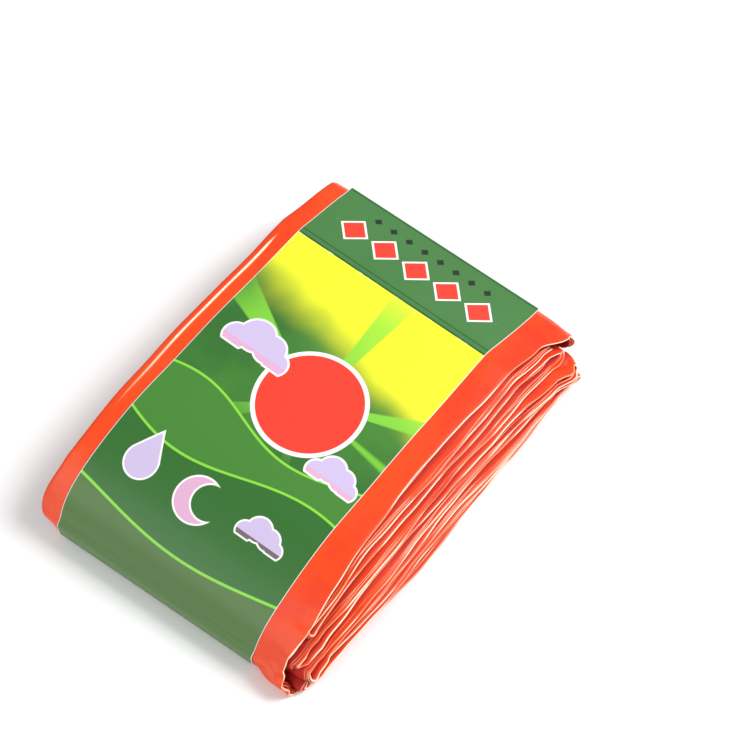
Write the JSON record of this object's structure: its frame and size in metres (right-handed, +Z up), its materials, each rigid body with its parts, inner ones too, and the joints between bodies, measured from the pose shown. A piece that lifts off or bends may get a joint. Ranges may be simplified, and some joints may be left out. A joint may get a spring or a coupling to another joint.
{
  "type": "folded emergency sleeping bag with paper band",
  "caption": "Flat film sleeping bag folded to a strip and laid back and forth into a small pack, held by a printed paper band wrapped over the top, round one end and underneath.",
  "frame": {"origin": "middle of the pack's box, on the surface it rests on", "axes": "+Z up, +Y along the strip's layers towards the far end, where the shoulder slopes down; +X across the pack towards the side where the lower folds stick out"},
  "size_m": [0.1268, 0.1886, 0.0412],
  "materials": {
    "orange_film": "glossy thin polyethylene film in bright orange, whitened along its folds",
    "printed_paper": "semi-gloss coated card printed in green and yellow, white on its inner face"
  },
  "bodies": {
    "root": {"folded_bag": "orange_film", "paper_band": "printed_paper"}
  },
  "joints": []
}
